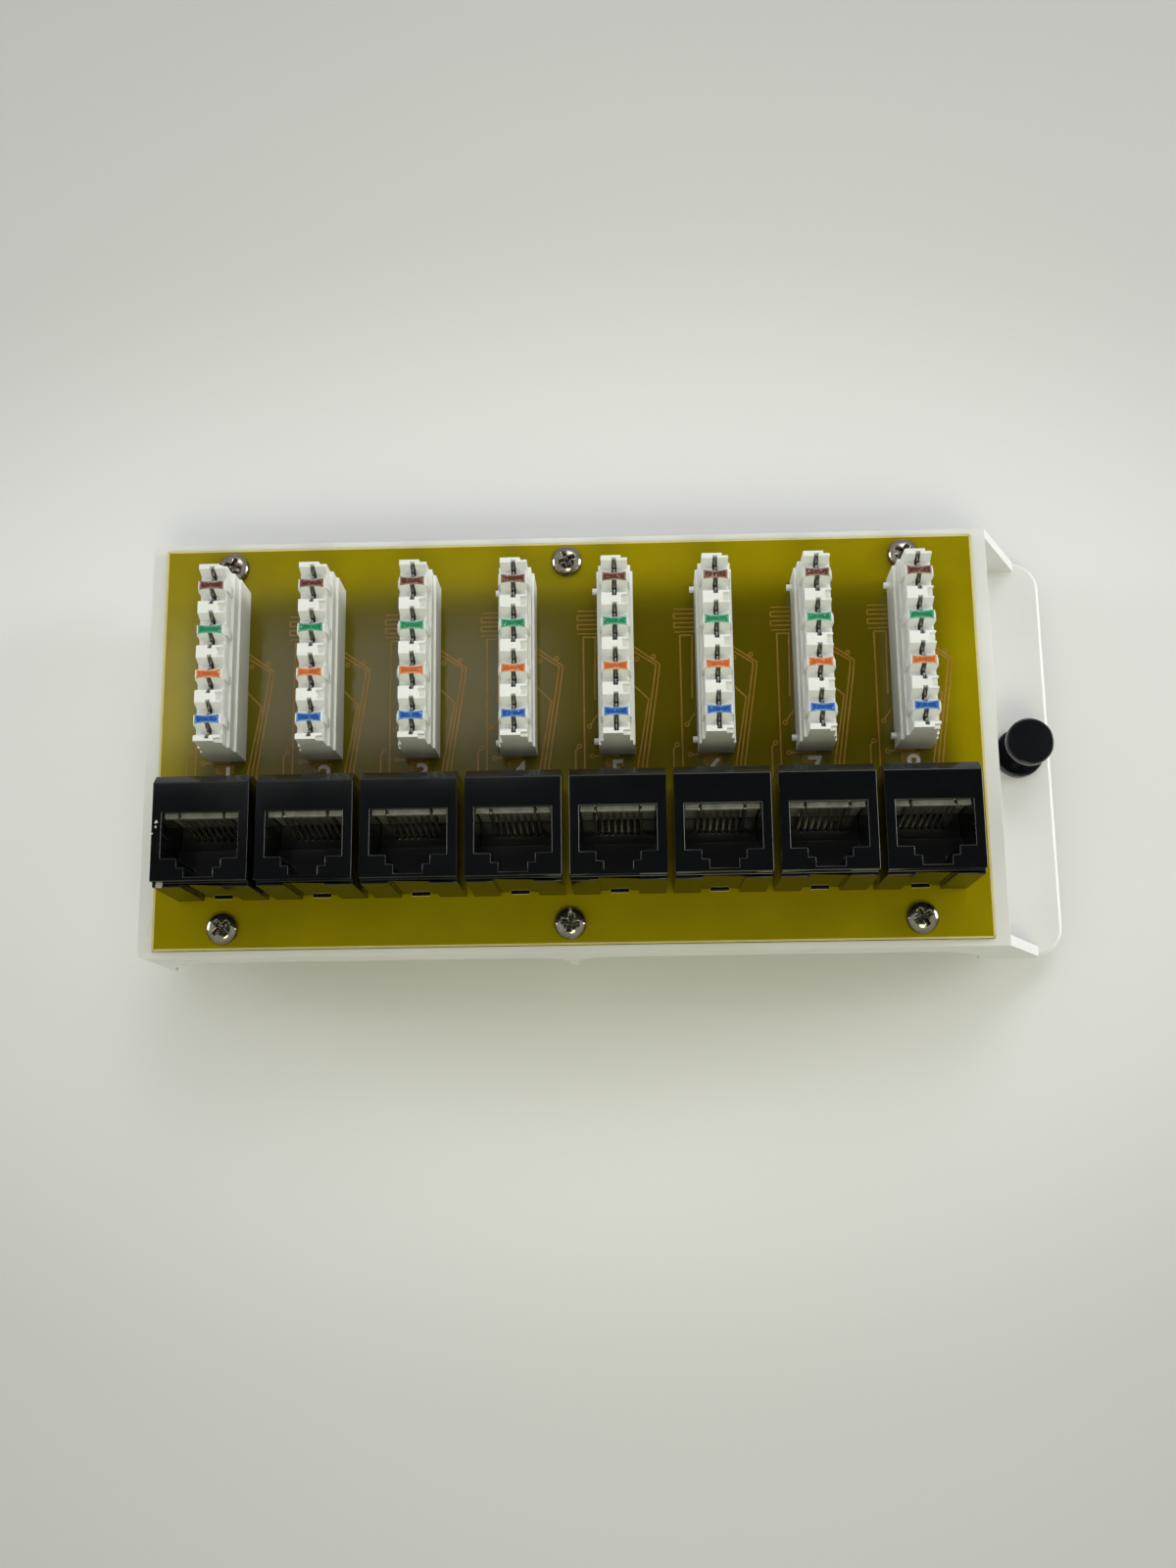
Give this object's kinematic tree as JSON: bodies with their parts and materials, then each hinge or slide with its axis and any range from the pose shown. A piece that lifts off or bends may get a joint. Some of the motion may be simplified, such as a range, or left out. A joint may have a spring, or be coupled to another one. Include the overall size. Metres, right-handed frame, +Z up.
{
  "type": "ethernet distribution module",
  "caption": "White wiring-panel bracket carrying an olive circuit board, with black upward jacks along the front, colour-marked punch-down blocks behind and a push fastener on its end flange.",
  "frame": {"origin": "middle of the whole part in plan, level with the tips of its hooks and fastener legs", "axes": "+X along the row of ports towards the flange, +Y from the jacks to the terminal blocks, +Z up"},
  "size_m": [0.1536, 0.0694, 0.0402],
  "materials": {
    "white_abs": "satin moulded",
    "solder_mask_board": "olive solder mask",
    "black_nylon": "moulded",
    "black_jack_plastic": "moulded",
    "grey_carrier_plastic": "moulded",
    "gold_wire": "gold plated",
    "white_terminal_plastic": "moulded",
    "plated_metal": "tin or nickel plated"
  },
  "bodies": {
    "module": {"bracket": "white_abs", "circuit_board": "solder_mask_board", "push_grommet": "black_nylon", "jack_housing_1": "black_jack_plastic", "jack_carrier_1": "grey_carrier_plastic", "jack_contacts_1": "gold_wire", "idc_block_1": "white_terminal_plastic", "idc_contacts_1": "plated_metal", "jack_housing_2": "black_jack_plastic", "jack_carrier_2": "grey_carrier_plastic", "jack_contacts_2": "gold_wire", "idc_block_2": "white_terminal_plastic", "idc_contacts_2": "plated_metal", "jack_housing_3": "black_jack_plastic", "jack_carrier_3": "grey_carrier_plastic", "jack_contacts_3": "gold_wire", "idc_block_3": "white_terminal_plastic", "idc_contacts_3": "plated_metal", "jack_housing_4": "black_jack_plastic", "jack_carrier_4": "grey_carrier_plastic", "jack_contacts_4": "gold_wire", "idc_block_4": "white_terminal_plastic", "idc_contacts_4": "plated_metal", "jack_housing_5": "black_jack_plastic", "jack_carrier_5": "grey_carrier_plastic", "jack_contacts_5": "gold_wire", "idc_block_5": "white_terminal_plastic", "idc_contacts_5": "plated_metal", "jack_housing_6": "black_jack_plastic", "jack_carrier_6": "grey_carrier_plastic", "jack_contacts_6": "gold_wire", "idc_block_6": "white_terminal_plastic", "idc_contacts_6": "plated_metal", "jack_housing_7": "black_jack_plastic", "jack_carrier_7": "grey_carrier_plastic", "jack_contacts_7": "gold_wire", "idc_block_7": "white_terminal_plastic", "idc_contacts_7": "plated_metal", "jack_housing_8": "black_jack_plastic", "jack_carrier_8": "grey_carrier_plastic", "jack_contacts_8": "gold_wire", "idc_block_8": "white_terminal_plastic", "idc_contacts_8": "plated_metal"},
    "plunger": {"push_plunger": "black_nylon"}
  },
  "joints": [
    {"name": "plunger_slide", "type": "slide", "parent": "module", "child": "plunger", "axis": [0, 0, -1], "range_m": [0, 0.0066]}
  ]
}
